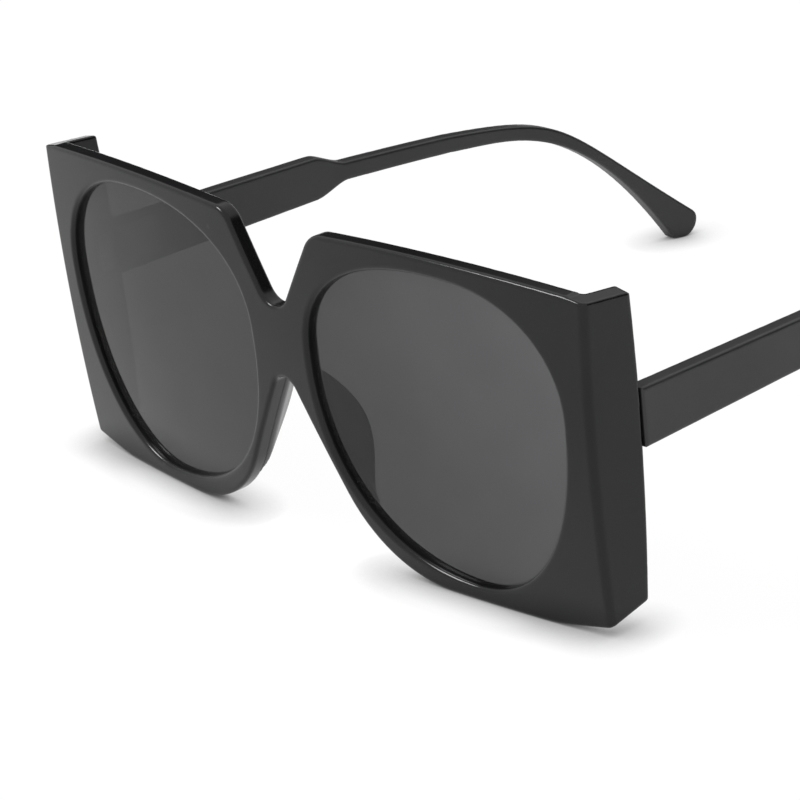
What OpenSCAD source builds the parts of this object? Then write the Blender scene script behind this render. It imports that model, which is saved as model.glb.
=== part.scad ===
// Oversized square sunglasses with side shields and two folding temples.
// Millimetres. X runs from the wearer's right to the wearer's left, Y from the front to the back,
// Z up. The floor is z = 0: the lower rims and both temple tips rest on it with the temples open.
// The origin is on the mirror plane, at the floor, halfway between the face and the temple tips.

/* [Front] */
// width over the upper outer corners
front_width = 150; // [144:1:158]
// height of the front at the highest point of each brow
front_height = 63.2; // [61:0.1:66]
// radius of the shallow dome that the face of the front is part of
dome_radius = 481; // [420:1:600]
// height at which the dome stands furthest forward
dome_level = 47.9; // [36:0.1:54]
// thickness of the moulding
front_thickness = 3.2; // [3.1:0.1:4]
// radius of the long arch of each brow line
brow_radius = 403; // [300:1:550]
// place of the highest point of the brow, as a share of half the width
brow_peak_share = 0.513; // [0.44:0.001:0.56]
// rounding of the upper inner corner of each rim
brow_corner = 5.5; // [4.4:0.1:6]
// lean of each rim's side edge, top outwards, degrees
side_taper = 1.9; // [1:0.1:3]
// flare of the side shield to the rear, degrees
side_flare = 1.7; // [0:0.1:3]

/* [Bridge] */
// lowest point of the notch above the bridge
notch_level = 46.6; // [45:0.1:49]
// half the angle of the notch, degrees
notch_half_angle = 31.1; // [26:0.1:34]
// radius of the notch at its lowest point
notch_radius = 4.2; // [3:0.1:5]
// top of the arch over the nose
arch_level = 32.8; // [31:0.1:35]
// radius of the top of the arch
arch_radius = 3.4; // [2.5:0.1:4.5]
// lean of the straight flank beside the nose, degrees from upright
flank_angle = 30.1; // [27:0.1:32]
// radius of the lower inner curve of each rim
rim_radius = 27; // [25.5:0.1:29]

/* [Lens opening] */
// distance of each opening from the mirror plane
bridge_margin = 8; // [7:0.1:9]
// distance of each opening from the side
side_margin = 6.6; // [5.6:0.1:8]
// distance of each opening from the highest point of the brow
brow_margin = 3.4; // [3.2:0.1:4.6]
// height of each opening's lowest point
floor_margin = 2.8; // [2.5:0.1:4]
// share of the opening's width that lies between the nose and its widest level
opening_inner_share = 0.582; // [0.55:0.002:0.6]
// share of the opening's height that lies above its widest level
opening_upper_share = 0.37; // [0.34:0.002:0.42]
// fullness of the opening's corners, two is an ellipse
opening_fullness = 2.21; // [2:0.01:2.3]
// turn of the opening, degrees
opening_turn = 2.6; // [0:0.1:3.2]

/* [Lens] */
// thickness of the lens
lens_thickness = 1.2; // [1:0.1:1.3]
// distance of the lens behind the face of the front
lens_recess = 1.5; // [1.2:0.1:1.6]
// depth of the groove that the lens edge sits in
groove_depth = 0.9; // [0.6:0.05:1]

/* [Side shield] */
// how far the shield reaches behind the foot of the face
shield_reach = 14.8; // [13.5:0.1:16]
// radius of the shield's rear edge seen from the side, which reaches furthest at half height
shield_edge_radius = 460; // [300:10:800]
// wall of the shield
shield_wall = 3.5; // [3.3:0.1:3.8]
// fall of the shield's top to the rear, degrees
shield_top_fall = 5.2; // [3:0.1:8]
// fall of the outer end of the brow, degrees
shield_brow_fall = 10.5; // [8:0.1:15]
// rise of the cut lower corner to the side, degrees
corner_rise = 7.5; // [5:0.1:12]
// rise of the cut lower corner to the rear, degrees
corner_back_rise = 14.7; // [10:0.1:18]
// distance of the start of the lower corner cut from the side
corner_inset = 13.5; // [10:0.1:16]

/* [Nose pads] */
// height of the pad's deepest point on the rim
pad_level = 23.5; // [22:0.1:24.5]
// length of the pad along the rim
pad_length = 30.6; // [26:0.1:32]
// how far the pad stands out behind the rim at its deepest point
pad_depth = 5.4; // [4:0.1:6.5]
// how far the pad's two ends stand out behind the rim
pad_end_depth = 1; // [0.6:0.1:1.6]
// thickness of the pad
pad_thickness = 2; // [1.6:0.1:2.2]
// depth of the seat that the pad's foot lies in
pad_seat = 0.15; // [0.1:0.05:0.2]
// how far the pad opens outwards to the rear, degrees
pad_open_angle = 26; // [20:0.5:32]

/* [Temples] */
// gap between the shield and the end of the temple
temple_gap = 0.15; // [0.1:0.01:0.3]
// how far the temple's outer face stands inside half the front's width
temple_inset = 0.1; // [0:0.05:0.4]
// thickness of the temple
temple_thickness = 3.4; // [3.2:0.1:3.8]
// height of the temple where it meets the shield
temple_height = 10.7; // [10:0.1:11.4]
// height above the floor of the temple's top edge at the shield
temple_top = 42.8; // [42.3:0.1:43.3]
// height of the temple just ahead of its step
temple_end_height = 8.8; // [8:0.1:9.4]
// height above the floor of the temple's top edge ahead of the step
step_top = 41.7; // [41.3:0.1:42.2]
// distance of the upper step from the front
step_y = 63.6; // [60:0.1:70]
// how far the lower step lies ahead of the upper one
step_lead = 0.3; // [0:0.1:3]
// length of the step
step_length = 8.1; // [5:0.1:10]
// height of the slim arm behind the step
arm_height = 3.8; // [3.4:0.1:4.2]
// height above the floor of the slim arm's top edge
arm_top = 38.8; // [38.4:0.1:39.2]
// height of the slim arm where the bend starts
bend_height = 3.5; // [3.2:0.1:4]
// distance of the start of the bend from the front
bend_y = 98; // [94:1:104]
// height above the floor of the arm's top edge at the start of the bend
bend_top = 36.8; // [36.4:0.1:37.2]
// slope of the arm at the start of the bend, degrees
arm_slope = 6.3; // [4:0.1:8]
// distance of the end of the tip's top edge from the front
tip_y = 154.7; // [151:0.1:159]
// height above the floor at which the tip's top edge ends
tip_corner = 5.6; // [4.6:0.1:6.6]
// width of the tip near the floor
tip_width = 4.9; // [4:0.1:6]
// height above the floor at which the tip's lower edge ends
tip_toe = 0.3; // [0.2:0.1:1]
// rounding of the tip's far corner
tip_rounding = 2.4; // [2:0.1:3]
// slope of the tip's top edge, degrees
tip_top_slope = 41.3; // [40:0.1:44]
// slope of the tip's lower edge, degrees
tip_low_slope = 59.5; // [56:0.5:64]
// inward run of the straight part of the temple, degrees
temple_toe_in = 2.3; // [1.6:0.1:3.2]
// distance from the front at which the temple starts to bend inwards
hug_y = 80; // [72:1:88]
// radius of the inward bend
hug_radius = 300; // [220:5:400]

/* [Core wires] */
// thickness of the stiffening wire inside each temple, square
core_size = 1.2; // [0.8:0.1:1.3]

/* [Hinges] */
// height of the middle of the hinge
hinge_level = 37.9; // [37.6:0.1:38.2]
// distance of the hinge axis inside the temple's inner face
axis_inset = 1.8; // [1.7:0.05:2.2]
// radius of the hinge barrels
barrel_radius = 1.5; // [1.4:0.05:1.6]
// height of each of the three barrels
barrel_height = 2.5; // [2:0.1:2.6]
// gap between two barrels
barrel_gap = 0.08; // [0.05:0.01:0.12]
// radius of the pivot screw
pivot_radius = 0.7; // [0.5:0.05:0.8]
// running clearance of the pivot screw in a barrel, on the radius
pivot_clearance = 0.05; // [0.03:0.01:0.08]
// radius of the pivot screw's head
pivot_head_radius = 1.2; // [1.1:0.05:1.35]
// height of the pivot screw's head
pivot_head_height = 0.6; // [0.4:0.05:0.8]
// thickness of the hinge leaves
leaf_thickness = 1; // [0.8:0.05:1.1]
// length of the leaf on the shield
front_leaf_length = 3.4; // [3:0.1:3.6]
// length of the leaf on the temple
temple_leaf_length = 8.2; // [7:0.1:10]
// depth of the seats that the leaves lie in
seat_depth = 0.3; // [0.25:0.05:0.4]
// distance between the two fixing screws of a leaf
screw_spacing = 4.2; // [3.8:0.1:4.4]
// radius of a fixing screw
screw_radius = 0.45; // [0.35:0.05:0.5]
// radius of a fixing screw's head
screw_head_radius = 0.9; // [0.8:0.05:1]
// height of a fixing screw's head
screw_head_height = 0.35; // [0.2:0.05:0.4]
// depth of a fixing screw in the plastic
screw_depth = 1.8; // [1.2:0.1:1.9]

/* [Hidden] */
// play left around the lens in its groove
lens_play = 0.04;
// points on a full lens outline
outline_points = 72;
// points on each rounded corner
corner_points = 8;
// points on each long curve
curve_points = 16;
// sides of round pieces
round_sides = 48;
// sides of the dome
dome_sides = 360;
// share of the pad's length that lies above its deepest point
pad_upper_share = 0.415;
// fullness of the pad's side view above and below its deepest point, low values are full
pad_upper_fullness = 0.95;
pad_lower_fullness = 1.7;
// lengths of the handles of a temple's edge curves, as shares of the curve's run
step_handle_share = 0.27;
top_handle_shares = [0.535, 0.738];
low_handle_shares = [0.299, 0.758];
// how far along the bend the core wire reaches
core_bend_share = 0.8;
// where the screws of the temple's leaf sit along it
leaf_screw_share = 0.6;
// share of the barrel's radius at which the front leaf's arms end inside the barrel
arm_bite_share = 0.4;
// a length that is longer than any piece
beyond = 400;
// overlap of shapes that cut or join past a face
past = 0.4;
// a full turn and parts of it, in degrees
full = 360;
half = 180;
quarter = 90;

half_width = front_width / 2;
// the dome's centre lies behind the face, which passes over the origin at floor level
dome_y = sqrt(pow(dome_radius, 2) - pow(dome_level, 2));
function face_y(x, z) = dome_y - sqrt(pow(dome_radius, 2) - pow(x, 2) - pow(z - dome_level, 2));

// the openings for the lenses
opening_width = half_width - bridge_margin - side_margin;
opening_height = front_height - brow_margin - floor_margin;
opening_in = opening_width * opening_inner_share;
opening_out = opening_width - opening_in;
opening_up = opening_height * opening_upper_share;
opening_down = opening_height - opening_up;
opening_x = bridge_margin + opening_in;
opening_z = floor_margin + opening_down;
corner_start = half_width - corner_inset;

// the brow line and the rounded corner between it and the notch
brow_peak = half_width * brow_peak_share;
brow_low = front_height - brow_radius;
brow_end_x = half_width - shield_wall;
brow_end_z = brow_low + sqrt(pow(brow_radius, 2) - pow(brow_end_x - brow_peak, 2));
notch_centre = notch_level + notch_radius;
notch_slope = [sin(notch_half_angle), cos(notch_half_angle)];
corner_from_notch = notch_radius + brow_corner;
corner_foot_x = corner_from_notch * cos(notch_half_angle) - brow_peak;
corner_foot_z = notch_centre - corner_from_notch * sin(notch_half_angle) - brow_low;
corner_level = corner_foot_x * notch_slope[0] + corner_foot_z * notch_slope[1];
corner_reach = pow(brow_radius - brow_corner, 2) - pow(corner_foot_x, 2) - pow(corner_foot_z, 2);
corner_rise_length = sqrt(pow(corner_level, 2) + corner_reach) - corner_level;
corner_x = brow_peak + corner_foot_x + corner_rise_length * notch_slope[0];
corner_z = brow_low + corner_foot_z + corner_rise_length * notch_slope[1];
corner_turn = asin((brow_peak - corner_x) / (brow_radius - brow_corner));

// the arch over the nose, the flank below it and the centre of the curve that the flank runs into
arch_centre = arch_level - arch_radius;
flank_x = cos(flank_angle) * arch_radius;
flank_z = arch_centre + sin(flank_angle) * arch_radius;
rim_turn_x = flank_x + (rim_radius - (rim_radius - flank_z) * sin(flank_angle)) / cos(flank_angle);
pad_x = flank_x + (flank_z - pad_level) * tan(flank_angle);
pad_y = face_y(pad_x, pad_level) + front_thickness;

// the temples
temple_front = shield_reach + temple_gap;
temple_outer_x = half_width - temple_inset;
temple_inner_x = temple_outer_x - temple_thickness;
step_low = step_top - temple_end_height;
step_low_y = step_y - step_lead;
arm_low = arm_top - arm_height;
bend_low = bend_top - bend_height;
tip_floor_y = tip_y - tip_rounding;
tip_toe_y = tip_y - tip_width;
middle_y = (dome_y - dome_radius + tip_y) / 2;

// the hinges
axis_x = temple_inner_x - axis_inset;
axis_y = temple_front + temple_gap;
hinge_clearance = 2 * temple_gap;
barrel_pitch = barrel_height + barrel_gap;
hinge_height = barrel_height + 2 * barrel_pitch;
hinge_low = hinge_level - hinge_height / 2;
shield_lean = tan(side_flare) * shield_reach - tan(side_taper) * (front_height - hinge_level);
front_seat_x = half_width - shield_wall + shield_lean + seat_depth;
temple_seat_x = temple_inner_x + seat_depth;
front_leaf_end = axis_y - barrel_radius - hinge_clearance;
front_leaf_start = front_leaf_end - front_leaf_length;
temple_leaf_start = axis_y + barrel_radius - hinge_clearance;
temple_leaf_end = temple_leaf_start + temple_leaf_length;
front_screw_y = front_leaf_end - front_leaf_length / 2;
temple_screw_y = temple_leaf_start + temple_leaf_length * leaf_screw_share;

// one node's name, or all

function direction(angle) = [cos(angle), sin(angle)];
function arc(centre, radius, from, to) =
    let (turn = (to - from) / corner_points)
    [for (i = [0:corner_points]) centre + radius * direction(from + turn * i)];
function backwards(points) = [for (i = [len(points) - 1:-1:0]) points[i]];
function mirrored(points) = [for (point = backwards(points)) [-point[0], point[1]]];
function signed_power(value, power) = sign(value) * pow(abs(value), power);

// a smooth curve from a to d that leaves towards b and arrives from c, and a part of it
function curve_point(a, b, c, d, t) =
    pow(1 - t, 3) * a + 3 * pow(1 - t, 2) * t * b + 3 * (1 - t) * pow(t, 2) * c + pow(t, 3) * d;
function curve(a, b, c, d, part) =
    [for (i = [0:curve_points]) curve_point(a, b, c, d, part * i / curve_points)];

// the opening for the lens on the wearer's left, grown by some length
function opening_point(angle, grow) =
    let (across = (cos(angle) > 0 ? opening_out : opening_in) + grow)
    let (along = (sin(angle) > 0 ? opening_up : opening_down) + grow)
    let (x = across * signed_power(cos(angle), 2 / opening_fullness))
    let (z = along * signed_power(sin(angle), 2 / opening_fullness))
    let (turned_x = x * cos(opening_turn) + z * sin(opening_turn))
    let (turned_z = z * cos(opening_turn) - x * sin(opening_turn))
    [opening_x + turned_x, opening_z + turned_z];
function opening_outline(grow) =
    [for (i = [0:outline_points - 1]) opening_point(full * i / outline_points, grow)];

// the outline of the front on the wearer's left, from the notch round to the arch
function brow_point(x) = [x, brow_low + sqrt(pow(brow_radius, 2) - pow(x - brow_peak, 2))];
function brow_points(from, to) =
    [for (i = [1:curve_points]) brow_point(from + (to - from) * i / curve_points)];
function rim_curve(centre, radius, from, to) =
    let (turn = (to - from) / curve_points)
    [for (i = [0:curve_points]) centre + radius * direction(from + turn * i)];
function front_half() = concat(
    arc([0, notch_centre], notch_radius, -quarter, -notch_half_angle),
    arc([corner_x, corner_z], brow_corner, half - notch_half_angle, quarter + corner_turn),
    brow_points(corner_x, half_width + past),
    [[half_width + past, 0]],
    rim_curve([rim_turn_x, rim_radius], rim_radius, -quarter, flank_angle - half),
    arc([0, arch_centre], arch_radius, flank_angle, quarter)
);

// the edges of a temple seen from the side, each as a list of [distance from the front, height]
function step_curve(from, to) =
    let (handle = [(to[0] - from[0]) * step_handle_share, 0])
    curve(from, from + handle, to - handle, to, 1);
function bend_curve(from, to, slope, shares, part) =
    let (run = to[0] - from[0])
    let (leave = from + run * shares[0] * direction(-arm_slope))
    let (arrive = to - run * shares[1] * direction(-slope))
    curve(from, leave, arrive, to, part);
function top_bend(part) =
    bend_curve([bend_y, bend_top], [tip_y, tip_corner], tip_top_slope, top_handle_shares, part);
function low_bend(part) =
    bend_curve([bend_y, bend_low], [tip_toe_y, tip_toe], tip_low_slope, low_handle_shares, part);
function temple_top_edge() = concat(
    [[temple_front, temple_top]],
    step_curve([step_y, step_top], [step_y + step_length, arm_top]),
    top_bend(1)
);
function temple_low_edge() = concat(
    [[temple_front, temple_top - temple_height]],
    step_curve([step_low_y, step_low], [step_low_y + step_length, arm_low]),
    low_bend(1)
);
function tip_end() =
    let (from = [tip_y, tip_corner])
    let (leave = from + tip_rounding * direction(-tip_top_slope))
    curve(from, leave, [tip_y, 0], [tip_floor_y, 0], 1);

// the middle line of a temple seen from the side, as far as the core wire follows it
function core_line() =
    let (top = top_bend(core_bend_share))
    let (low = low_bend(core_bend_share))
    concat(
        [[temple_front, temple_top - temple_height / 2], [step_low_y, (step_top + step_low) / 2]],
        [[step_y + step_length, (arm_top + arm_low) / 2]],
        (top + low) / 2
    );
// a strip of even width along a line of points
function strip_side(points, offset) = [
    for (i = [0:len(points) - 1])
        let (run = points[min(i + 1, len(points) - 1)] - points[max(i - 1, 0)])
        points[i] + offset * [-run[1], run[0]] / norm(run)
];
function strip(points, width) =
    concat(strip_side(points, width / 2), backwards(strip_side(points, -width / 2)));

// the course of a temple seen from above, some depth inside its outer face
function temple_x(y, depth) =
    let (straight = tan(temple_toe_in) * (y - temple_front))
    let (hug = pow(max(0, y - hug_y), 2) / (2 * hug_radius))
    temple_outer_x - depth - straight - hug;
function temple_course(depth) =
    let (far = tip_y + tip_rounding - hug_y)
    concat(
        [[temple_x(temple_front, depth), temple_front]],
        [for (i = [0:curve_points])
            let (y = hug_y + far * i / curve_points)
            [temple_x(y, depth), y]]
    );

// the side view of a nose pad, as [depth behind the rim, place along the rim]
function pad_point(angle) =
    let (reach = pad_length * (angle > 0 ? pad_upper_share : 1 - pad_upper_share))
    let (fullness = angle > 0 ? pad_upper_fullness : pad_lower_fullness)
    let (depth = pad_end_depth + (pad_depth - pad_end_depth) * pow(cos(angle), fullness))
    [depth, reach * angle / quarter];
function pad_outline() = concat(
    [[-past, -pad_length * (1 - pad_upper_share)]],
    [for (i = [-corner_points:corner_points]) pad_point(quarter * i / corner_points)],
    [[-past, pad_length * pad_upper_share]]
);

// stands a flat outline upright and gives it depth along Y
module upright(from, to) {
    translate([0, to, 0])
        rotate([quarter, 0, 0])
            linear_extrude(height = to - from)
                children();
}

// gives a side view, drawn as [distance from the front, height], thickness along X
module sideways(from, to) {
    translate([from, 0, 0])
        rotate([quarter, 0, quarter])
            linear_extrude(height = to - from)
                children();
}

// a block between two opposite corners
module block(from, to) {
    translate(from)
        cube(to - from);
}

// everything that lies deeper than some length behind the face of the front
module behind_face(depth) {
    translate([0, dome_y, dome_level])
        sphere(r = dome_radius - depth, $fn = dome_sides);
}

// moves a piece from its distance behind the face to its place around the origin
module placed() {
    translate([0, -middle_y, 0])
        children();
}

module both_sides() {
    children();
    mirror([1, 0, 0])
        children();
}

module wearers_right() {
    mirror([1, 0, 0])
        children();
}

// everything ahead of the bowed rear edge of the side shields
module ahead_of_shield_edge() {
    translate([0, shield_reach - shield_edge_radius, front_height / 2])
        rotate([0, quarter, 0])
            cylinder(h = beyond, r = shield_edge_radius, center = true, $fn = dome_sides);
}

// everything outside the side of the front, moved inwards by some length
module beyond_side(inset) {
    translate([half_width - inset, 0, front_height])
        rotate([0, side_taper, -side_flare])
            translate([0, -beyond / 2, -beyond / 2])
                cube(beyond);
}

// everything above the end of the brow, which falls to the side and to the rear
module above_brow_end() {
    translate([brow_end_x, face_y(brow_end_x, brow_end_z), brow_end_z])
        rotate([-shield_top_fall, shield_brow_fall, 0])
            translate([-past, -beyond / 2, 0])
                cube(beyond);
}

// everything below the cut lower corner, which rises to the side and to the rear
module below_corner() {
    translate([corner_start, face_y(corner_start, 0), 0])
        rotate([corner_back_rise, -corner_rise, 0])
            translate([-shield_wall, -beyond / 2, -beyond])
                cube(beyond);
}

// the moulding without its openings
module shell() {
    difference() {
        intersection() {
            upright(-dome_level, shield_reach)
                polygon(concat(front_half(), mirrored(front_half())));
            behind_face(0);
            ahead_of_shield_edge();
        }
        difference() {
            behind_face(front_thickness);
            both_sides()
                beyond_side(shield_wall);
        }
        both_sides() {
            beyond_side(0);
            above_brow_end();
            below_corner();
        }
    }
}

module lens_shape(grow, play) {
    difference() {
        intersection() {
            upright(-dome_level, shield_reach)
                polygon(opening_outline(grow));
            behind_face(lens_recess - play);
        }
        behind_face(lens_recess + lens_thickness + play);
    }
}

module front_frame() {
    color("#161618")
        difference() {
            shell();
            both_sides() {
                upright(-dome_level, shield_reach)
                    polygon(opening_outline(0));
                lens_shape(groove_depth, lens_play);
                nose_pad();
                front_leaf_seat();
                leaf_screw_pair(front_seat_x, front_screw_y, screw_radius);
            }
        }
}

module lens() {
    color("#5a5c60", 0.6)
        lens_shape(groove_depth - lens_play, 0);
}

// everything behind the flat foot of a nose pad, which follows the dome there
module behind_pad_foot() {
    rise = asin((dome_level - pad_level) / dome_radius);
    swing = asin(pad_x / dome_radius);
    translate([pad_x, pad_y - pad_seat, pad_level])
        rotate([rise, 0, swing])
            translate([-beyond / 2, 0, -beyond / 2])
                cube(beyond);
}

module nose_pad() {
    color("#1c1c1e")
        intersection() {
            translate([pad_x, pad_y, pad_level])
                rotate([0, -flank_angle, 0])
                    rotate([0, 0, -pad_open_angle])
                        sideways(0, pad_thickness)
                            polygon(pad_outline());
            behind_pad_foot();
        }
}

// the full temple, or a strip of it between two depths below its outer face
module temple_strip(from, to) {
    linear_extrude(height = front_height)
        polygon(concat(temple_course(from), backwards(temple_course(to))));
}

module core(size) {
    intersection() {
        temple_strip((temple_thickness - size) / 2, (temple_thickness + size) / 2);
        sideways(0, half_width)
            polygon(strip(core_line(), size));
    }
}

module temple() {
    color("#161618")
        difference() {
            intersection() {
                temple_strip(0, temple_thickness);
                sideways(0, half_width)
                    polygon(concat(temple_top_edge(), tip_end(), backwards(temple_low_edge())));
            }
            core(core_size);
            temple_leaf_seat();
            leaf_screw_pair(temple_seat_x, temple_screw_y, screw_radius);
        }
}

module core_wire() {
    color("#b9bcc0")
        core(core_size);
}

// the seat of the shield's leaf, open to the inside and to the rear
module front_leaf_seat() {
    block(
        [front_seat_x - leaf_thickness, front_leaf_start, hinge_low],
        [front_seat_x, shield_reach + past, hinge_low + hinge_height]
    );
}

// the seat of the temple's leaf, open to the inside
module temple_leaf_seat() {
    block(
        [temple_seat_x - leaf_thickness, temple_leaf_start, hinge_low],
        [temple_seat_x, temple_leaf_end, hinge_low + hinge_height]
    );
}

module leaf_screw_pair(seat_x, y, radius) {
    for (side = [-1, 1])
        translate([seat_x - leaf_thickness, y, hinge_level + side * screw_spacing / 2])
            rotate([0, quarter, 0])
                cylinder(h = leaf_thickness + screw_depth, r = radius, $fn = round_sides);
}

module leaf_screws(seat_x, y) {
    color("#303236") {
        leaf_screw_pair(seat_x, y, screw_radius);
        for (side = [-1, 1])
            translate([seat_x - leaf_thickness, y, hinge_level + side * screw_spacing / 2])
                rotate([0, -quarter, 0])
                    cylinder(h = screw_head_height, r = screw_head_radius, $fn = round_sides);
    }
}

// a round piece on the hinge axis
module on_axis(level, height, radius) {
    translate([axis_x, axis_y, level])
        cylinder(h = height, r = radius, $fn = round_sides);
}

// the leaf on the shield carries the upper and the lower barrel, the lower one holds the thread
module front_hinge_leaf() {
    upper = hinge_low + 2 * barrel_pitch;
    color("#2a2b2e")
        difference() {
            union() {
                block(
                    [front_seat_x - leaf_thickness, front_leaf_start, hinge_low],
                    [front_seat_x, front_leaf_end, hinge_low + hinge_height]
                );
                for (level = [hinge_low, upper]) {
                    block(
                        [axis_x + barrel_radius * arm_bite_share, front_leaf_end - past, level],
                        [front_seat_x, shield_reach, level + barrel_height]
                    );
                    on_axis(level, barrel_height, barrel_radius);
                }
            }
            on_axis(upper - past, barrel_height + 2 * past, pivot_radius + pivot_clearance);
            on_axis(hinge_low - past, barrel_height + 2 * past, pivot_radius);
            leaf_screw_pair(front_seat_x, front_screw_y, screw_radius);
        }
}

// the leaf on the temple carries the middle barrel
module temple_hinge_leaf() {
    middle = hinge_low + barrel_pitch;
    color("#2a2b2e")
        difference() {
            union() {
                block(
                    [temple_seat_x - leaf_thickness, temple_leaf_start, hinge_low],
                    [temple_seat_x, temple_leaf_end, hinge_low + hinge_height]
                );
                block(
                    [axis_x, axis_y, middle],
                    [temple_inner_x - temple_gap, temple_leaf_start + past, middle + barrel_height]
                );
                on_axis(middle, barrel_height, barrel_radius);
            }
            on_axis(middle - past, barrel_height + 2 * past, pivot_radius + pivot_clearance);
            leaf_screw_pair(temple_seat_x, temple_screw_y, screw_radius);
        }
}

module pivot_screw() {
    color("#303236") {
        on_axis(hinge_low, hinge_height, pivot_radius);
        on_axis(hinge_low + hinge_height, pivot_head_height, pivot_head_radius);
    }
}

module front_leaf_screws() {
    leaf_screws(front_seat_x, front_screw_y);
}

module temple_leaf_screws() {
    leaf_screws(temple_seat_x, temple_screw_y);
}

placed() front_frame();
placed() lens();  // lens_left
placed() wearers_right() lens();  // lens_right
placed() nose_pad();  // nose_pad_left
placed() wearers_right() nose_pad();  // nose_pad_right
placed() temple();  // temple_left
placed() wearers_right() temple();  // temple_right
placed() core_wire();  // core_wire_left
placed() wearers_right() core_wire();  // core_wire_right
placed() front_hinge_leaf();  // front_hinge_leaf_left
placed() wearers_right() front_hinge_leaf();  // front_hinge_leaf_right
placed() temple_hinge_leaf();  // temple_hinge_leaf_left
placed() wearers_right() temple_hinge_leaf();  // temple_hinge_leaf_right
placed() pivot_screw();  // pivot_screw_left
placed() wearers_right() pivot_screw();  // pivot_screw_right
placed() front_leaf_screws();  // front_leaf_screws_left
placed() wearers_right() front_leaf_screws();  // front_leaf_screws_right
placed() temple_leaf_screws();  // temple_leaf_screws_left
placed() wearers_right() temple_leaf_screws();  // temple_leaf_screws_right
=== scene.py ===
import math

import bpy
import numpy as np
from mathutils import Matrix, Vector


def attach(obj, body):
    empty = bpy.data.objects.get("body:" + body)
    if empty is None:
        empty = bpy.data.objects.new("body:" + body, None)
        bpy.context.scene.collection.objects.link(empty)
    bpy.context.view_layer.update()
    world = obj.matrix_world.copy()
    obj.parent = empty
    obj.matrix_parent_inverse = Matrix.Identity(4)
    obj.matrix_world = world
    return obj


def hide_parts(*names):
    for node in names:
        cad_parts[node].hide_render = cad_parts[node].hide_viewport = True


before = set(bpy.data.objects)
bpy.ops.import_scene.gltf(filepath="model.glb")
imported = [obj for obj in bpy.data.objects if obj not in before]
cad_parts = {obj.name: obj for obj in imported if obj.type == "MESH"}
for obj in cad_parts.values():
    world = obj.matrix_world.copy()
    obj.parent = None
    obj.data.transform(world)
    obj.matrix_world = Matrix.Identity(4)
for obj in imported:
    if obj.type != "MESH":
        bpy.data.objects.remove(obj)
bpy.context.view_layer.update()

MM = 0.001

# The sizes are those of the part's source, in millimetres.
HALF_WIDTH = 75.0
BEYOND = 2.0
FRONT_HEIGHT = 63.2
DOME_RADIUS = 481.0
DOME_LEVEL = 47.9
DOME_Y = math.sqrt(DOME_RADIUS**2 - DOME_LEVEL**2)
FRONT_THICKNESS = 3.2
BROW_RADIUS = 403.0
BROW_PEAK = HALF_WIDTH * 0.513
BROW_CORNER = 5.5
SIDE_TAPER = math.radians(1.9)
SIDE_FLARE = math.radians(1.7)
NOTCH_LEVEL = 46.6
NOTCH_HALF_ANGLE = math.radians(31.1)
NOTCH_RADIUS = 4.2
ARCH_LEVEL = 32.8
ARCH_RADIUS = 3.4
FLANK_ANGLE = math.radians(30.1)
RIM_RADIUS = 27.0
BRIDGE_MARGIN, SIDE_MARGIN, BROW_MARGIN, FLOOR_MARGIN = 8.0, 6.6, 3.4, 2.8
OPENING_WIDTH = HALF_WIDTH - BRIDGE_MARGIN - SIDE_MARGIN
OPENING_HEIGHT = FRONT_HEIGHT - BROW_MARGIN - FLOOR_MARGIN
OPENING_IN = OPENING_WIDTH * 0.582
OPENING_OUT = OPENING_WIDTH - OPENING_IN
OPENING_UP = OPENING_HEIGHT * 0.37
OPENING_DOWN = OPENING_HEIGHT - OPENING_UP
OPENING_X = BRIDGE_MARGIN + OPENING_IN
OPENING_Z = FLOOR_MARGIN + OPENING_DOWN
OPENING_FULLNESS = 2.21
OPENING_TURN = math.radians(2.6)
LENS_THICKNESS = 1.2
LENS_RECESS = 1.5
GROOVE_DEPTH = 0.9
SHIELD_REACH = 14.8
SHIELD_EDGE_RADIUS = 460.0
SHIELD_WALL = 3.5
SHIELD_TOP_FALL = math.radians(5.2)
SHIELD_BROW_FALL = math.radians(10.5)
CORNER_RISE = math.radians(7.5)
CORNER_BACK_RISE = math.radians(14.7)
CORNER_START = HALF_WIDTH - 13.5
SIDE_GAP = 0.15
TEMPLE_FRONT = SHIELD_REACH + SIDE_GAP
TEMPLE_OUTER = HALF_WIDTH - 0.1
TEMPLE_THICKNESS = 3.4
TEMPLE_TOE_IN = math.tan(math.radians(2.3))
HUG_Y, HUG_RADIUS = 80.0, 300.0
TEMPLE_TOP, TEMPLE_HEIGHT = 42.8, 10.7
STEP_Y, STEP_LEAD, STEP_LENGTH, STEP_HANDLE = 63.6, 0.3, 8.1, 0.27
STEP_TOP, STEP_HEIGHT = 41.7, 8.8
ARM_TOP, ARM_HEIGHT, ARM_SLOPE = 38.8, 3.8, math.radians(-6.3)
BEND_Y, BEND_TOP, BEND_HEIGHT = 98.0, 36.8, 3.5
TIP_Y, TIP_CORNER, TIP_WIDTH, TIP_TOE, TIP_ROUNDING = 154.7, 5.6, 4.9, 0.3, 2.4
TIP_TOP_SLOPE, TIP_LOW_SLOPE = math.radians(-41.3), math.radians(-59.5)
TOP_HANDLES, LOW_HANDLES = (0.535, 0.738), (0.299, 0.758)
MIDDLE_Y = (DOME_Y - DOME_RADIUS + TIP_Y) / 2
PAD_LEVEL, PAD_LENGTH, PAD_UPPER_SHARE = 23.5, 30.6, 0.415
PAD_DEPTH, PAD_END_DEPTH, PAD_LOWER_END_DEPTH, PAD_THICKNESS = 5.4, 1.0, 0.2, 2.0
PAD_UPPER_FULLNESS, PAD_LOWER_FULLNESS = 0.95, 1.7
FLANK_X = math.cos(FLANK_ANGLE) * ARCH_RADIUS
FLANK_Z = ARCH_LEVEL - ARCH_RADIUS + math.sin(FLANK_ANGLE) * ARCH_RADIUS
PAD_UP, PAD_DOWN = PAD_LENGTH * PAD_UPPER_SHARE, PAD_LENGTH * (1 - PAD_UPPER_SHARE)
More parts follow.
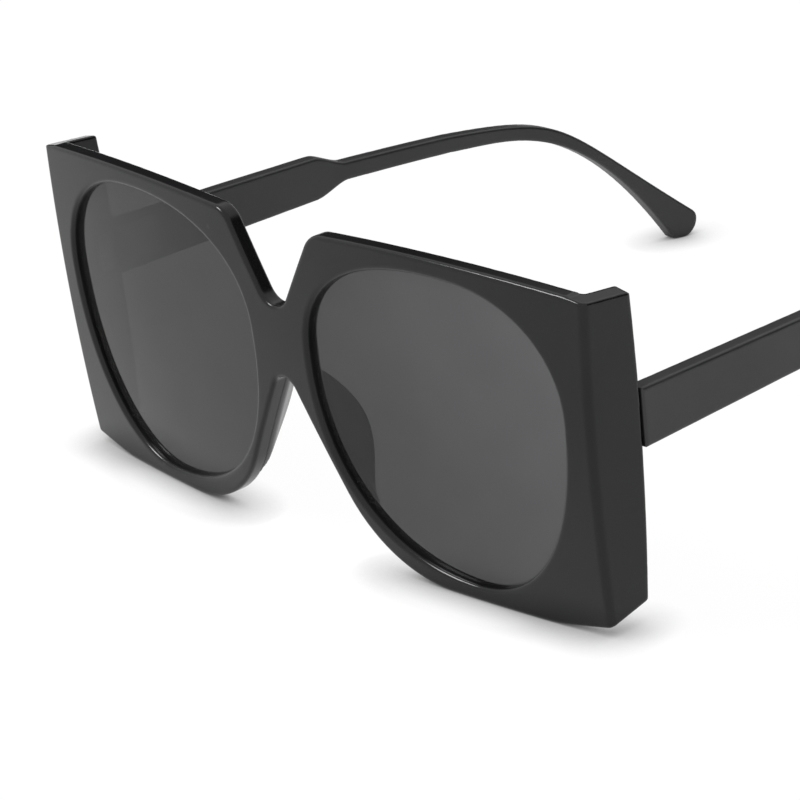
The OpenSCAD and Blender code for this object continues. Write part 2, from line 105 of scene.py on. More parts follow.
PAD_X = FLANK_X + (FLANK_Z - PAD_LEVEL) * math.tan(FLANK_ANGLE)
PAD_TOP_X = PAD_X - PAD_UP * math.sin(FLANK_ANGLE)

# Rounded edges, as radii.
CREASE_ROUND, EDGE_ROUND, TOP_ROUND, REAR_ROUND = 1.2, 0.65, 0.25, 0.5
OPENING_ROUND, INSIDE_ROUND = 0.9, 1.2
TEMPLE_EDGE, TEMPLE_END_EDGE = 0.55, 0.25
PAD_EDGE, PAD_FILLET = 0.8, 1.6
LENS_EDGE, LENS_CLEARANCE = 0.2, 0.04

# A pad bends off the flank at this slope and turn; it stands proud of the flank and laps onto it.
PAD_TURN, PAD_SLOPE, PAD_SLOPE_SCALE, PAD_DEPTH_SCALE = 1.5, 0.566, 0.87, 0.85
PAD_PROUD, PAD_LAP, PAD_FADE = 0.05, 0.6, 4.0
NEAR_PAD, NEAR_PAD_SHARPNESS = 6.0, 0.96
NOSE_REACH, NOSE_TOP = 40.0, 34.0
TOP_RELIEF = 0.5

# Where each body is meshed, as its lowest and highest corner and the step of the grid.
FRONT_GRID = ((0, -3, -1), (77, 16, 64.5), 0.34)
TEMPLE_GRID = ((46, 14, -1), (76, 160, 45), 0.35)
PAD_GRID = ((0.5, 0, 5), (22, 10, 36), 0.28)

# Looks: lens tint per surface seen straight on and at a slant, and its mirror share.
# Studio directions and the edges of their lights are in degrees, the floor's painted shadow's reach
# is in metres.
LENS_TINT, LENS_SLANT_TINT = (0.325, 0.325, 0.33), (0.135, 0.135, 0.138)
LENS_SLANT = (0.28, 0.56)
LENS_GLOSS, LENS_SHEEN = 0.018, 1.5
DARK_WALLS, DARK_WALL_EDGE = ((-124.0, 8.0), (133.0, 22.0)), (14, 32)
DARK_WALL_COLOUR = (0.04, 0.04, 0.042)
SOFT_BOX, SOFT_BOX_EDGE, SOFT_BOX_LEVEL = (-42.0, 49.0), (6, 13), 20.0
PAINTED_SHADOW_REACH, PAINTED_SHADOW_POWER = 0.0085, 1.25
FLOOR_HALF, FLOOR_GLOW = 6.0, 0.97
WHITE = (1.0, 1.0, 1.0)
FRONT_GREYS = (0.003, 0.003, 0.0033), (0.006, 0.006, 0.0065)
ARM_GREYS = (0.006, 0.006, 0.0066), (0.012, 0.012, 0.013)
PAD_GREYS = (0.004, 0.004, 0.0045), (0.008, 0.008, 0.0085)
PLATE_GREYS = (0.01, 0.01, 0.0105), (0.02, 0.02, 0.021)
SCREW_GREYS = (0.02, 0.02, 0.021), (0.05, 0.05, 0.052)
WIRE_GREYS = (0.4, 0.4, 0.41), (0.58, 0.58, 0.6)


def face_y(x, z):
    return DOME_Y - np.sqrt(DOME_RADIUS**2 - x**2 - (z - DOME_LEVEL) ** 2)


def to_part(points):
    """From millimetres behind the face to metres in the part's own frame."""
    moved = np.array(points, float)
    moved[:, 1] -= MIDDLE_Y
    return moved * MM


def arc(centre, radius, start, end, step):
    """Points on an arc between two angles in radians, about one step apart."""
    count = max(4, int(abs(end - start) * radius / step))
    angles = np.linspace(start, end, count + 1)
    return [(centre[0] + radius * math.cos(a), centre[1] + radius * math.sin(a)) for a in angles]


def curve(a, b, c, d, count):
    """Points on a smooth curve from a to d that leaves towards b and arrives from c."""
    a, b, c, d = (np.array(p, float) for p in (a, b, c, d))
    t = np.linspace(0, 1, count + 1)[:, None]
    points = (1 - t) ** 3 * a + 3 * (1 - t) ** 2 * t * b + 3 * (1 - t) * t**2 * c + t**3 * d
    return [tuple(p) for p in points]


# Bodies as distance fields
def outline_distance(u, v, points, closed=True):
    """Signed distance from an outline, negative inside it."""
    ends = points[1:] + (points[:1] if closed else [])
    best, inside = np.inf, False
    for (ax, ay), (bx, by) in zip(points, ends):
        ex, ey = bx - ax, by - ay
        if ex == ey == 0:
            continue
        wx, wy = u - ax, v - ay
        t = np.clip((wx * ex + wy * ey) / (ex * ex + ey * ey), 0, 1)
        best = np.minimum(best, (wx - ex * t) ** 2 + (wy - ey * t) ** 2)
        if ey != 0:
            inside = inside ^ (((ay > v) != (by > v)) & (u < ex * wy / ey + ax))
    distance = np.sqrt(best)
    return np.where(inside, -distance, distance)


def both(a, b, radius):
    """What two bodies share, with the edge between them rounded."""
    corner = np.hypot(np.maximum(a + radius, 0), np.maximum(b + radius, 0))
    return np.minimum(np.maximum(a, b), -radius) + corner


def plane_distance(x, y, z, point, normal):
    return (x - point[0]) * normal[0] + (y - point[1]) * normal[1] + (z - point[2]) * normal[2]


def surface_net(body, low, high, step, mirrored=False, relax=3):
    """Quads where body is zero, on a grid of that step, with their points slid onto the surface.
    mirrored meshes the half with x above zero and adds its mirror image."""
    axes = [np.arange(a, b + step, step) for a, b in zip(low, high)]
    if mirrored:
        axes[0] = np.arange(-0.5 * step, high[0] + step, step)
    shape = tuple(len(a) for a in axes)
    values = np.broadcast_to(body(*np.ix_(*axes)), shape)
    inside = values < 0
    count = np.zeros(tuple(n - 1 for n in shape), np.int8)
    corners = [(i, j, k) for i in (0, 1) for j in (0, 1) for k in (0, 1)]
    for i, j, k in corners:
        count += inside[i : shape[0] - 1 + i, j : shape[1] - 1 + j, k : shape[2] - 1 + k]
    cells = np.argwhere((count > 0) & (count < 8))
    number = np.full(count.shape, -1, np.int64)
    number[tuple(cells.T)] = np.arange(len(cells))
    total, hits = np.zeros((len(cells), 3)), np.zeros(len(cells))
    for a in corners:
        for axis in range(3):
            if a[axis]:
                continue
            b = tuple(1 if n == axis else v for n, v in enumerate(a))
            va = values[tuple((cells + a).T)]
            vb = values[tuple((cells + b).T)]
            crossed = (va < 0) != (vb < 0)
            t = np.where(crossed, va / np.where(crossed, va - vb, 1), 0)
            place = cells + np.array(a, float)
            place[:, axis] += t
            total += np.where(crossed[:, None], place, 0)
            hits += crossed
    points = total / hits[:, None] * step + np.array([a[0] for a in axes])
    quads = []
    for axis in range(3):
        one, two = (axis + 1) % 3, (axis + 2) % 3
        lower = [slice(None)] * 3
        upper = [slice(None)] * 3
        lower[axis], upper[axis] = slice(0, -1), slice(1, None)
        first, second = inside[tuple(lower)], inside[tuple(upper)]
        edges = np.argwhere(first != second)
        keep = (edges[:, one] > 0) & (edges[:, two] > 0)
        keep &= (edges[:, one] < shape[one] - 1) & (edges[:, two] < shape[two] - 1)
        edges = edges[keep]
        ring = []
        for p, q in ((1, 1), (0, 1), (0, 0), (1, 0)):
            cell = edges.copy()
            cell[:, one] -= p
            cell[:, two] -= q
            ring.append(number[tuple(cell.T)])
        ring = np.stack(ring, 1)
        outward = first[tuple(edges.T)]
        ring[~outward] = ring[~outward][:, ::-1]
        quads.append(ring)
    quads = np.concatenate(quads)
    seam = np.zeros(len(points), bool)
    if mirrored:
        seam = cells[:, 0] == 0
    pairs = np.concatenate([quads[:, [0, 1]], quads[:, [1, 2]], quads[:, [2, 3]], quads[:, [3, 0]]])
    pairs = np.concatenate([pairs, pairs[:, ::-1]])
    degree = np.bincount(pairs[:, 0], minlength=len(points))
    small = step * 0.1
    for turn in range(relax + 2):
        if 0 < turn <= relax:
            mean = np.stack(
                [np.bincount(pairs[:, 0], points[pairs[:, 1], n], len(points)) for n in range(3)], 1
            )
            points = 0.5 * points + 0.5 * mean / degree[:, None]
        points[seam, 0] = 0
        x, y, z = points.T
        value = body(x, y, z)
        slope = np.stack(
            [body(x + small, y, z), body(x, y + small, z), body(x, y, z + small)], 1
        )
        slope = (slope - value[:, None]) / small
        move = value[:, None] * slope / np.maximum((slope**2).sum(1), 0.25)[:, None]
        points = points - np.clip(move, -step, step)
    points[seam, 0] = 0
    if mirrored:
        other = np.arange(len(points)) + len(points)
        other[seam] = np.nonzero(seam)[0]
        fresh = np.cumsum(~seam) - 1 + len(points)
        other[~seam] = fresh[~seam]
        flipped = points[~seam] * (-1, 1, 1)
        points = np.concatenate([points, flipped])
        quads = np.concatenate([quads, other[quads][:, ::-1]])
    return points, quads.tolist()


def make_piece(name, points, faces, material, body, nodes):
    """A smooth mesh piece from points in millimetres that stands for CAD nodes."""
    mesh = bpy.data.meshes.new(name)
    mesh.from_pydata(to_part(points).tolist(), [], faces)
    mesh.validate()
    mesh.polygons.foreach_set("use_smooth", [True] * len(mesh.polygons))
    mesh.materials.append(material)
    piece = bpy.data.objects.new(name, mesh)
    bpy.context.scene.collection.objects.link(piece)
    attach(piece, body)
    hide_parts(*nodes)
    return piece


# The front
def front_outline():
    """The outline of the half with x above zero, from the notch round to the arch."""
    brow_low = FRONT_HEIGHT - BROW_RADIUS
    notch_centre = NOTCH_LEVEL + NOTCH_RADIUS
    along = np.array([math.sin(NOTCH_HALF_ANGLE), math.cos(NOTCH_HALF_ANGLE)])
    reach = NOTCH_RADIUS + BROW_CORNER
    foot = np.array([reach * along[1] - BROW_PEAK, notch_centre - reach * along[0] - brow_low])
    inner = BROW_RADIUS - BROW_CORNER
    level = foot @ along
    corner = foot + (math.sqrt(level**2 - foot @ foot + inner**2) - level) * along
    turn = math.atan2(corner[1], corner[0])
    corner += (BROW_PEAK, brow_low)
    rise = RIM_RADIUS - (RIM_RADIUS - FLANK_Z) * math.sin(FLANK_ANGLE)
    turn_x = FLANK_X + rise / math.cos(FLANK_ANGLE)
    quarter = math.pi / 2
    end = math.acos((HALF_WIDTH + BEYOND - BROW_PEAK) / BROW_RADIUS)
    short, medium, long = 0.25, 0.6, 1.5
    points = arc((0, notch_centre), NOTCH_RADIUS, -quarter, -NOTCH_HALF_ANGLE, short)
    points += arc(corner, BROW_CORNER, math.pi - NOTCH_HALF_ANGLE, turn, short)
    points += arc((BROW_PEAK, brow_low), BROW_RADIUS, turn, end, long)[1:]
    points += [(HALF_WIDTH + BEYOND, 0.0)]
    points += arc((turn_x, RIM_RADIUS), RIM_RADIUS, -quarter, FLANK_ANGLE - math.pi, medium)
    points += arc((0, ARCH_LEVEL - ARCH_RADIUS), ARCH_RADIUS, FLANK_ANGLE, quarter, short)
    return points


def opening_distance(u, v, grow=0.0):
    """Distance from the edge of a lens opening, negative in the opening."""
    du, dv = u - OPENING_X, v - OPENING_Z
    x = du * math.cos(OPENING_TURN) - dv * math.sin(OPENING_TURN)
    z = du * math.sin(OPENING_TURN) + dv * math.cos(OPENING_TURN)
    a = np.where(x > 0, OPENING_OUT, OPENING_IN) + grow
    b = np.where(z > 0, OPENING_UP, OPENING_DOWN) + grow
    n = OPENING_FULLNESS
    p, q = np.abs(x) / a + 1e-9, np.abs(z) / b + 1e-9
    total = p**n + q**n
    value = total ** (1 / n)
    scale = total ** (1 / n - 1)
    slope = np.hypot(scale * p ** (n - 1) / a, scale * q ** (n - 1) / b)
    return (value - 1) / slope


OUTLINE = front_outline()
NOSE_OUTLINE = [point for point in OUTLINE if point[0] < NOSE_REACH and point[1] < NOSE_TOP]


def rotated(vector, about_x, about_y, about_z):
    """A vector turned about the x, then the y and then the z axis, by angles in radians."""

    def turned(u, v, angle):
        c, s = math.cos(angle), math.sin(angle)
        return u * c - v * s, u * s + v * c

    x, y, z = vector
    y, z = turned(y, z, about_x)
    z, x = turned(z, x, about_y)
    x, y = turned(x, y, about_z)
    return (x, y, z)


SIDE_NORMAL = rotated((1, 0, 0), 0, SIDE_TAPER, -SIDE_FLARE)
BROW_END_NORMAL = rotated((0, 0, 1), -SHIELD_TOP_FALL, SHIELD_BROW_FALL, 0)
CORNER_NORMAL = rotated((0, 0, -1), CORNER_BACK_RISE, -CORNER_RISE, 0)
BROW_END_X = HALF_WIDTH - SHIELD_WALL
BROW_END_Z = FRONT_HEIGHT - BROW_RADIUS
BROW_END_Z += math.sqrt(BROW_RADIUS**2 - (BROW_END_X - BROW_PEAK) ** 2)
BROW_END = (BROW_END_X, face_y(BROW_END_X, BROW_END_Z), BROW_END_Z)
CORNER_POINT = (CORNER_START, face_y(CORNER_START, 0), 0)


def along_flank(x, z):
    return (z - PAD_LEVEL) * math.cos(FLANK_ANGLE) - (x - PAD_X) * math.sin(FLANK_ANGLE)


def near_pad(x, z):
    """One along the rim beside a nose pad, where the rim's rear edge stays sharp, else zero."""
    along = along_flank(x, z)
    ends = np.minimum(PAD_UP - along, PAD_DOWN + along)
    across = (x - PAD_X) * math.cos(FLANK_ANGLE) + (z - PAD_LEVEL) * math.sin(FLANK_ANGLE)
    return np.clip(ends, 0, 1) * np.clip(NEAR_PAD - np.abs(across), 0, 1)


def front_body(x, y, z):
    x = np.abs(x)
    from_centre = np.sqrt(x**2 + (y - DOME_Y) ** 2 + (z - DOME_LEVEL) ** 2)
    face = from_centre - DOME_RADIUS
    side = plane_distance(x, y, z, (HALF_WIDTH, 0, FRONT_HEIGHT), SIDE_NORMAL)
    outline = outline_distance(x, z, OUTLINE, closed=False)
    top = plane_distance(x, y, z, BROW_END, BROW_END_NORMAL)
    top = top - TOP_RELIEF * np.maximum(0, BROW_END_X - x)
    corner = plane_distance(x, y, z, CORNER_POINT, CORNER_NORMAL)
    hollow = both(face + FRONT_THICKNESS, side + SHIELD_WALL, INSIDE_ROUND)
    block = both(face, side, CREASE_ROUND)
    block = both(block, outline, EDGE_ROUND)
    block = both(block, corner, EDGE_ROUND)
    block = both(block, top, TOP_ROUND)
    rear = np.hypot(y - SHIELD_REACH + SHIELD_EDGE_RADIUS, z - FRONT_HEIGHT / 2)
    block = both(block, rear - SHIELD_EDGE_RADIUS, REAR_ROUND)
    block = both(block, -hollow, REAR_ROUND * (1 - NEAR_PAD_SHARPNESS * near_pad(x, z)))
    return both(block, -opening_distance(x, z), OPENING_ROUND)


# The temples
def temple_outline():
    """The side view of a temple as [distance behind the face, height]."""

    def step_curve(start, end):
        handle = (end[0] - start[0]) * STEP_HANDLE
        return curve(start, (start[0] + handle, start[1]), (end[0] - handle, end[1]), end, 14)

    def bend(start, end, slope, handles):
        leave, arrive = ((end[0] - start[0]) * share for share in handles)
        b = (start[0] + leave * math.cos(ARM_SLOPE), start[1] + leave * math.sin(ARM_SLOPE))
        c = (end[0] - arrive * math.cos(slope), end[1] - arrive * math.sin(slope))
        return curve(start, b, c, end, 180)

    step_end = STEP_Y + STEP_LENGTH
    tip = (TIP_Y, TIP_CORNER)
    toe = (TIP_Y - TIP_WIDTH, TIP_TOE)
    ahead, fall = math.cos(TIP_TOP_SLOPE), math.sin(TIP_TOP_SLOPE)
    beyond = (tip[0] + TIP_ROUNDING * ahead, tip[1] + TIP_ROUNDING * fall)
    top = [(TEMPLE_FRONT, TEMPLE_TOP)] + step_curve((STEP_Y, STEP_TOP), (step_end, ARM_TOP))
    top += bend((BEND_Y, BEND_TOP), tip, TIP_TOP_SLOPE, TOP_HANDLES)
    end = curve(tip, beyond, (TIP_Y, 0), (TIP_Y - TIP_ROUNDING, 0), 16)
    low = [(TEMPLE_FRONT, TEMPLE_TOP - TEMPLE_HEIGHT)]
    low += step_curve(
        (STEP_Y - STEP_LEAD, STEP_TOP - STEP_HEIGHT),
        (step_end - STEP_LEAD, ARM_TOP - ARM_HEIGHT),
    )
    low += bend((BEND_Y, BEND_TOP - BEND_HEIGHT), toe, TIP_LOW_SLOPE, LOW_HANDLES)
    return top + end[1:] + low[::-1]


TEMPLE_OUTLINE = temple_outline()


def temple_body(x, y, z):
    hug = np.maximum(0, y - HUG_Y)
    outer = TEMPLE_OUTER - TEMPLE_TOE_IN * (y - TEMPLE_FRONT) - hug**2 / (2 * HUG_RADIUS)
    slope = TEMPLE_TOE_IN + hug / HUG_RADIUS
    square = 1 / np.sqrt(1 + slope**2)
    half = TEMPLE_THICKNESS / 2
    strip = np.abs(x - outer + half) * square - half * square
    outline = outline_distance(y, z, TEMPLE_OUTLINE)
    body = both(strip, outline, TEMPLE_EDGE)
    return both(body, TEMPLE_FRONT - y, TEMPLE_END_EDGE)


# The nose pads
def pad_depth(along):
    """How far the pad reaches behind the rim at some place along it."""
    share = np.where(along > 0, along / PAD_UP, -along / PAD_DOWN)
    wave = np.cos(np.clip(share, 0, 1) * math.pi / 2)
    wave = wave ** np.where(along > 0, PAD_UPPER_FULLNESS, PAD_LOWER_FULLNESS)
    end = np.where(along > 0, PAD_END_DEPTH, PAD_LOWER_END_DEPTH)
    return end + (PAD_DEPTH - end) * wave


def pad_body(x, y, z):
    from_centre = np.sqrt(x**2 + (y - DOME_Y) ** 2 + (z - DOME_LEVEL) ** 2)
    deep = DOME_RADIUS - from_centre - FRONT_THICKNESS
    along = along_flank(x, z)
    inward = outline_distance(x, z, NOSE_OUTLINE, closed=False)
    bend = np.where(deep < PAD_TURN, deep**2 / (2 * PAD_TURN), deep - PAD_TURN / 2) * PAD_SLOPE
    across = (inward - np.where(deep > 0, bend, 0)) * PAD_SLOPE_SCALE
    slab = np.abs(across - (PAD_THICKNESS - PAD_PROUD) / 2) - (PAD_THICKNESS + PAD_PROUD) / 2
    pad = both(slab, (deep - pad_depth(along)) * PAD_DEPTH_SCALE, PAD_EDGE)
    pad = both(pad, along - PAD_UP, PAD_EDGE)
    pad = both(pad, -along - PAD_DOWN, PAD_EDGE)
    rim = np.maximum(deep, -opening_distance(x, z))
    fillet = PAD_FILLET * np.clip((PAD_DOWN + along) / PAD_FADE, 0, 1)
    reach = np.maximum(fillet - np.abs(pad - rim), 0)
    joined = np.minimum(pad, rim) - reach**2 / (4 * PAD_FILLET)
    joined = np.maximum(joined, -across - PAD_PROUD)
    joined = np.maximum(joined, -deep)
    joined = np.minimum(joined, np.maximum(pad, np.abs(deep) - PAD_LAP))
    return both(joined, PAD_TOP_X - x, PAD_EDGE)


# The lenses
def lens_mesh():
    """Two domed faces of rings and spokes, joined by a narrow rounded edge."""
    spokes, rings = 180, 26
    turns = np.linspace(0, 2 * math.pi, spokes, endpoint=False)
    n = OPENING_FULLNESS

    def rim(grow):
        x = np.sign(np.cos(turns)) * np.abs(np.cos(turns)) ** (2 / n)
        z = np.sign(np.sin(turns)) * np.abs(np.sin(turns)) ** (2 / n)
        x = x * (np.where(np.cos(turns) > 0, OPENING_OUT, OPENING_IN) + grow)
        z = z * (np.where(np.sin(turns) > 0, OPENING_UP, OPENING_DOWN) + grow)
        c, s = math.cos(OPENING_TURN), math.sin(OPENING_TURN)
        return np.stack([OPENING_X + x * c + z * s, OPENING_Z + z * c - x * s], 1)

    centre = np.array([OPENING_X, OPENING_Z])
    outer = GROOVE_DEPTH - LENS_CLEARANCE
    flat_rim = rim(outer - LENS_EDGE) - centre
    loops = [(centre + flat_rim * share, LENS_RECESS) for share in np.linspace(0.04, 1, rings)]
    for turn in (math.pi / 4, math.pi / 2):
        inset = LENS_EDGE * (1 - math.sin(turn))
        depth = LENS_EDGE * (1 - math.cos(turn))
        loops.append((rim(outer - inset), LENS_RECESS + depth))
    count = len(loops)
    for flat, depth in loops[::-1]:
        loops.append((flat, 2 * LENS_RECESS + LENS_THICKNESS - depth))
    points = []
    for flat, depth in loops:
        radius = DOME_RADIUS - depth
        y = DOME_Y - np.sqrt(radius**2 - flat[:, 0] ** 2 - (flat[:, 1] - DOME_LEVEL) ** 2)
        points.append(np.stack([flat[:, 0], y, flat[:, 1]], 1))
    ends = []
    for depth in (LENS_RECESS, LENS_RECESS + LENS_THICKNESS):
        radius = DOME_RADIUS - depth
        y = DOME_Y - math.sqrt(radius**2 - centre[0] ** 2 - (centre[1] - DOME_LEVEL) ** 2)
        ends.append((centre[0], y, centre[1]))
    faces = []
    for ring in range(2 * count - 1):
        for k in range(spokes):
            a, b = ring * spokes + k, ring * spokes + (k + 1) % spokes
            faces.append((a, a + spokes, b + spokes, b))
    total = 2 * count * spokes
    for k in range(spokes):
        after = (k + 1) % spokes
        faces.append((total, k, after))
        faces.append((total + 1, total - spokes + after, total - spokes + k))
    return np.concatenate(points + [np.array(ends)]), faces


# The camera
def make_camera():
    """The photo's camera: focal length in pixels, angles in degrees, place in millimetres."""
    focal, azimuth, elevation, roll = 3595.625, 51.741, 21.952, -6.381
    place = Vector((479.125, -354.232 - MIDDLE_Y, 265.639)) * MM
    a, e, r = (math.radians(v) for v in (azimuth, elevation, roll))
    back = Vector((math.sin(a) * math.cos(e), -math.cos(a) * math.cos(e), math.sin(e)))
    right = Vector((math.cos(a), math.sin(a), 0.0))
    up = back.cross(right)
    row_x = right * math.cos(r) + up * math.sin(r)
    row_y = -right * math.sin(r) + up * math.cos(r)
    data = bpy.data.cameras.new("camera")
    data.sensor_width = 36.0
    data.lens = focal / 800 * data.sensor_width
    data.clip_start, data.clip_end = 0.01, 20.0
    camera = bpy.data.objects.new("camera", data)
    bpy.context.scene.collection.objects.link(camera)
    turn = Matrix((row_x, row_y, back)).transposed().to_4x4()
    camera.matrix_world = Matrix.Translation(place) @ turn
    bpy.context.scene.camera = camera


# Looks
class Nodes:
    """Adds nodes to a material or a world and links them."""

    def __init__(self, owner):
        owner.use_nodes = True
        self.tree = owner.node_tree
        self.shader = self.tree.nodes.get("Principled BSDF")

    def add(self, kind, **values):
        node = self.tree.nodes.new("ShaderNode" + kind)
        for name, value in values.items():
            setattr(node, name, value)
        return node

    def join(self, out, into):
        self.tree.links.new(out, into)

    def noise(self, scale, detail=3.0, stretch=(1, 1, 1)):
        """Noise in object space, scale in features per metre."""
        place = self.add("TexCoord")
        turn = self.add("Mapping")
        turn.inputs["Scale"].default_value = stretch
        self.join(place.outputs["Object"], turn.inputs["Vector"])
        texture = self.add("TexNoise")
        texture.inputs["Scale"].default_value = scale
        texture.inputs["Detail"].default_value = detail
        self.join(turn.outputs["Vector"], texture.inputs["Vector"])
        return texture.outputs["Fac"]

    def spread(self, value, low, high, start=0.3, end=0.7):
        """Maps a value between start and end to the range from low to high."""
        node = self.add("MapRange")
        for name, number in zip(
            ("From Min", "From Max", "To Min", "To Max"), (start, end, low, high)
        ):
            node.inputs[name].default_value = number
        self.join(value, node.inputs["Value"])
        return node.outputs["Result"]

    def blend(self, share, one, two):
        """A colour between two colours, each a tuple or a socket."""
        node = self.add("Mix", data_type="RGBA")
        self.join(share, node.inputs["Factor"])
        for name, colour in (("A", one), ("B", two)):
            into = [i for i in node.inputs if i.name == name and i.type == "RGBA"][0]
            if isinstance(colour, tuple):
                into.default_value = (*colour, 1)
            else:
                self.join(colour, into)
        return [o for o in node.outputs if o.type == "RGBA"][0]

    def sum(self, one, two, how="ADD"):
        node = self.add("Math", operation=how)
        for value, into in zip((one, two), node.inputs):
            if isinstance(value, float):
                into.default_value = value
            else:
                self.join(value, into)
        return node.outputs["Value"]

    def bump(self, height, distance, strength=1.0, below=None):
        node = self.add("Bump")
        node.inputs["Distance"].default_value = distance
        node.inputs["Strength"].default_value = strength
        self.join(height, node.inputs["Height"])
        if below is not None:
            self.join(below, node.inputs["Normal"])
        return node.outputs["Normal"]


def gloss_plastic(name, dark, light, smooth, dull, index=1.36):
    """Moulded plastic with soft waviness, faint smears, worn edges and a few dust specks."""
    material = bpy.data.materials.new(name)
    n = Nodes(material)
    shade = n.spread(n.noise(45, 4), 0.0, 1.0)
    colour = n.blend(shade, dark, light)
    wear = n.spread(n.add("NewGeometry").outputs["Pointiness"], 0.0, 1.0, 0.53, 0.62)
    worn = n.sum(wear, n.spread(n.noise(260, 5), 0.0, 1.0), "MULTIPLY")
    colour = n.blend(worn, colour, (0.02, 0.02, 0.021))
    speck = n.add("TexVoronoi")
    speck.inputs["Scale"].default_value = 160
    n.join(n.add("TexCoord").outputs["Object"], speck.inputs["Vector"])
    dust = n.spread(speck.outputs["Distance"], 1.0, 0.0, 0.018, 0.03)
    dust = n.sum(dust, n.spread(n.noise(70, 2), 0.0, 0.5, 0.6, 0.64), "MULTIPLY")
    colour = n.blend(dust, colour, (0.16, 0.16, 0.16))
    n.join(colour, n.shader.inputs["Base Color"])
    smear = n.spread(n.noise(30, 7, (1, 1.6, 0.7)), smooth, dull)
    fine = n.spread(n.noise(1400, 2), 0.0, 0.03)
    n.join(n.sum(n.sum(smear, fine), n.sum(dust, 0.5, "MULTIPLY")), n.shader.inputs["Roughness"])
    wavy = n.bump(n.noise(55, 1), 0.00003)
    n.join(n.bump(n.noise(1100, 3), 0.0000012, 1.0, wavy), n.shader.inputs["Normal"])
    n.shader.inputs["IOR"].default_value = index
    return material


def smoke_lens(name):
    """A tinted sheet: each surface lets part of the light through and mirrors the rest."""
    material = bpy.data.materials.new(name)
    n = Nodes(material)
    slant = n.add("LayerWeight")
    slant.inputs["Blend"].default_value = 0.5
    facing = slant.outputs["Facing"]
    patchy = n.spread(n.noise(28, 2), -0.05, 0.05)
    slanted = n.sum(n.spread(facing, 0.0, 1.0, *LENS_SLANT), patchy)
    tint = n.blend(slanted, LENS_TINT, LENS_SLANT_TINT)
    clear = n.add("BsdfTransparent")
    n.join(tint, clear.inputs["Color"])
    mirror = n.add("BsdfGlossy")
    n.join(n.spread(n.noise(24, 6), 0.03, 0.07), mirror.inputs["Roughness"])
    wavy = n.bump(n.noise(22, 1), 0.00004)
    n.join(n.bump(n.noise(900, 2), 0.0000006, 1.0, wavy), mirror.inputs["Normal"])
    gloss = n.sum(n.sum(n.sum(facing, 5.0, "POWER"), LENS_SHEEN, "MULTIPLY"), LENS_GLOSS)
    mix = n.add("MixShader")
    n.join(gloss, mix.inputs["Fac"])
    n.join(clear.outputs["BSDF"], mix.inputs[1])
    n.join(mirror.outputs["BSDF"], mix.inputs[2])
    haze = n.add("BsdfDiffuse")
    film = n.blend(n.noise(120, 5), (0.004, 0.004, 0.004), (0.012, 0.012, 0.012))
    n.join(film, haze.inputs["Color"])
    sheet = n.add("AddShader")
    n.join(mix.outputs["Shader"], sheet.inputs[0])
    n.join(haze.outputs["BSDF"], sheet.inputs[1])
    output = n.tree.nodes["Material Output"]
    n.tree.nodes.remove(n.shader)
    n.join(sheet.outputs["Shader"], output.inputs["Surface"])
    return material


def worked_metal(name, dark, light, smooth, dull, stretch):
    """Metal with the marks of its making drawn out along one direction."""
    material = bpy.data.materials.new(name)
    n = Nodes(material)
    lines = n.noise(2600, 4, stretch)
    patches = n.spread(n.noise(400, 3), 0.0, 1.0)
    colour = n.blend(patches, dark, light)
    wear = n.spread(n.add("NewGeometry").outputs["Pointiness"], 0.0, 0.6, 0.52, 0.6)
    n.join(n.blend(wear, colour, (0.5, 0.5, 0.51)), n.shader.inputs["Base Color"])
    n.join(n.spread(lines, smooth, dull), n.shader.inputs["Roughness"])
    n.join(n.bump(lines, 0.000004), n.shader.inputs["Normal"])
    n.shader.inputs["Metallic"].default_value = 1.0
    return material


# The world and the floor
def toward(azimuth, elevation):
    """Unit direction, azimuth from the front towards the wearer's left, both in degrees."""
    a, e = math.radians(azimuth), math.radians(elevation)
    return (math.sin(a) * math.cos(e), -math.cos(a) * math.cos(e), math.sin(e))


def make_world():
    """A white studio with dark screens behind the object and a soft box at the side."""
    world = bpy.data.worlds.new("studio")
    bpy.context.scene.world = world
    n = Nodes(world)
    background = n.tree.nodes["Background"]
    ray = n.add("TexCoord").outputs["Generated"]

    def lobe(direction, inner, outer):
        """One within inner degrees of a direction, falling to zero at outer degrees."""
        dot = n.add("VectorMath", operation="DOT_PRODUCT")
        n.join(ray, dot.inputs[0])
        dot.inputs[1].default_value = direction
        node = n.add("MapRange", interpolation_type="SMOOTHSTEP")
        node.inputs["From Min"].default_value = math.cos(math.radians(outer))
        node.inputs["From Max"].default_value = math.cos(math.radians(inner))
        n.join(dot.outputs["Value"], node.inputs["Value"])
        return node.outputs["Result"]

    dark = n.sum(*(lobe(toward(*wall), *DARK_WALL_EDGE) for wall in DARK_WALLS), "MAXIMUM")
    colour = n.blend(dark, WHITE, DARK_WALL_COLOUR)
    box = lobe(toward(*SOFT_BOX), *SOFT_BOX_EDGE)
    colour = n.blend(box, colour, (SOFT_BOX_LEVEL,) * 3)
    seen = n.add("LightPath").outputs["Is Camera Ray"]
    n.join(n.blend(seen, colour, WHITE), background.inputs["Color"])


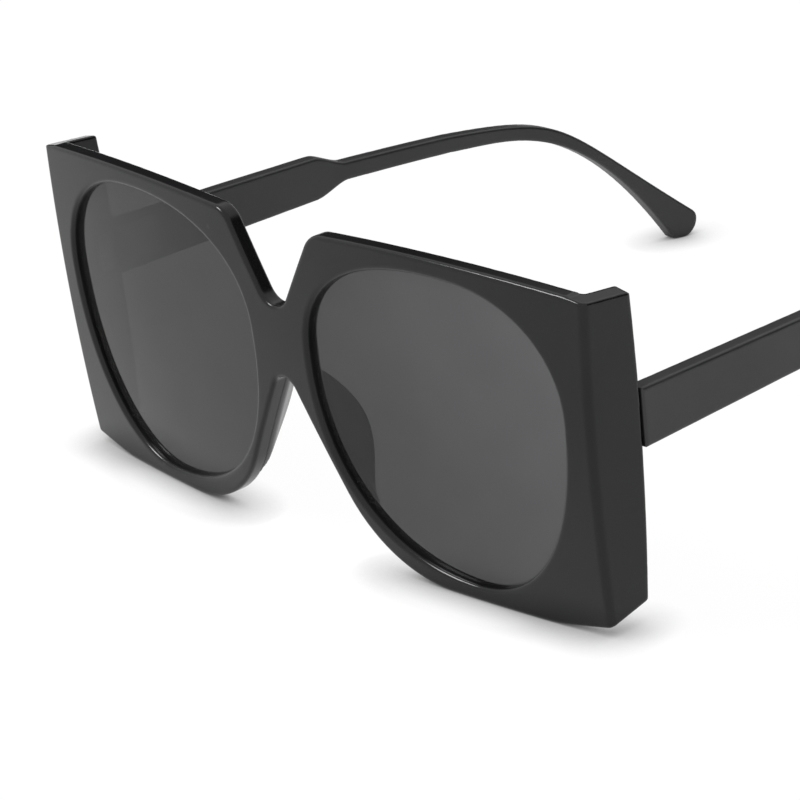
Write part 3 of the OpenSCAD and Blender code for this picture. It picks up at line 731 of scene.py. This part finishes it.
def make_floor():
    """White floor: it lights the object as a matt surface, and to camera, glossy and transmission
    rays it glows white with a painted contact shadow, darkened by ambient occlusion.
    """
    mesh = bpy.data.meshes.new("floor")
    signs = ((-1, -1), (1, -1), (1, 1), (-1, 1))
    corners = [(x * FLOOR_HALF, y * FLOOR_HALF, 0) for x, y in signs]
    mesh.from_pydata(corners, [], [(0, 1, 2, 3)])
    floor = bpy.data.objects.new("floor", mesh)
    bpy.context.scene.collection.objects.link(floor)
    material = bpy.data.materials.new("floor_white")
    n = Nodes(material)
    n.shader.inputs["Base Color"].default_value = (*WHITE, 1)
    n.shader.inputs["Roughness"].default_value = 1.0
    n.shader.inputs["Specular IOR Level"].default_value = 0.0
    # Painted contact shadow: ambient occlusion darkens the floor's glow near the object.
    painted_shadow = n.add("AmbientOcclusion", samples=8)
    painted_shadow.inputs["Distance"].default_value = PAINTED_SHADOW_REACH
    glow = n.add("Emission")
    n.join(n.sum(painted_shadow.outputs["AO"], PAINTED_SHADOW_POWER, "POWER"), glow.inputs["Strength"])
    mix = n.add("MixShader")
    path = n.add("LightPath")
    seen = n.sum(path.outputs["Is Camera Ray"], path.outputs["Is Glossy Ray"], "MAXIMUM")
    seen = n.sum(seen, path.outputs["Is Transmission Ray"], "MAXIMUM")
    n.join(n.sum(seen, FLOOR_GLOW, "MULTIPLY"), mix.inputs["Fac"])
    n.join(n.shader.outputs["BSDF"], mix.inputs[1])
    n.join(glow.outputs["Emission"], mix.inputs[2])
    n.join(mix.outputs["Shader"], n.tree.nodes["Material Output"].inputs["Surface"])
    mesh.materials.append(material)


def build():
    front_black = gloss_plastic("front_black", *FRONT_GREYS, 0.1, 0.2)
    arm_black = gloss_plastic("arm_black", *ARM_GREYS, 0.3, 0.44, 1.5)
    pad_black = gloss_plastic("pad_black", *PAD_GREYS, 0.14, 0.24, 1.42)
    smoke = smoke_lens("smoke_lens")
    looks = {
        "hinge": worked_metal("black_plate", *PLATE_GREYS, 0.3, 0.45, (1, 1, 12)),
        "screw": worked_metal("black_screw", *SCREW_GREYS, 0.25, 0.4, (8, 1, 8)),
        "core": worked_metal("drawn_steel", *WIRE_GREYS, 0.25, 0.45, (10, 1, 10)),
    }
    for word, material in looks.items():
        for name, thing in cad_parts.items():
            if word in name:
                for slot in thing.material_slots:
                    slot.material = material
    points, faces = surface_net(front_body, *FRONT_GRID, mirrored=True)
    make_piece(
        "front_moulding", points, faces, front_black, "front", ["front_frame"]
    )
    pairs = (
        ("arm", "temple", surface_net(temple_body, *TEMPLE_GRID), arm_black, "temple_plastic"),
        ("pad", "nose_pad", surface_net(pad_body, *PAD_GRID), pad_black, "pad_plastic"),
        ("smoke_lens", "lens", lens_mesh(), smoke, "lens"),
    )
    for side in ("left", "right"):
        for name, node, (points, faces), material, slot in pairs:
            if side == "right":
                points = points * (-1, 1, 1)
                faces = [face[::-1] for face in faces]
            body = f"temple_{side}_arm" if name == "arm" else "front"
            make_piece(f"{name}_{side}", points, faces, material, body, [f"{node}_{side}"])


make_camera()
make_world()
make_floor()
build()

bpy.context.scene.view_settings.view_transform = "Standard"
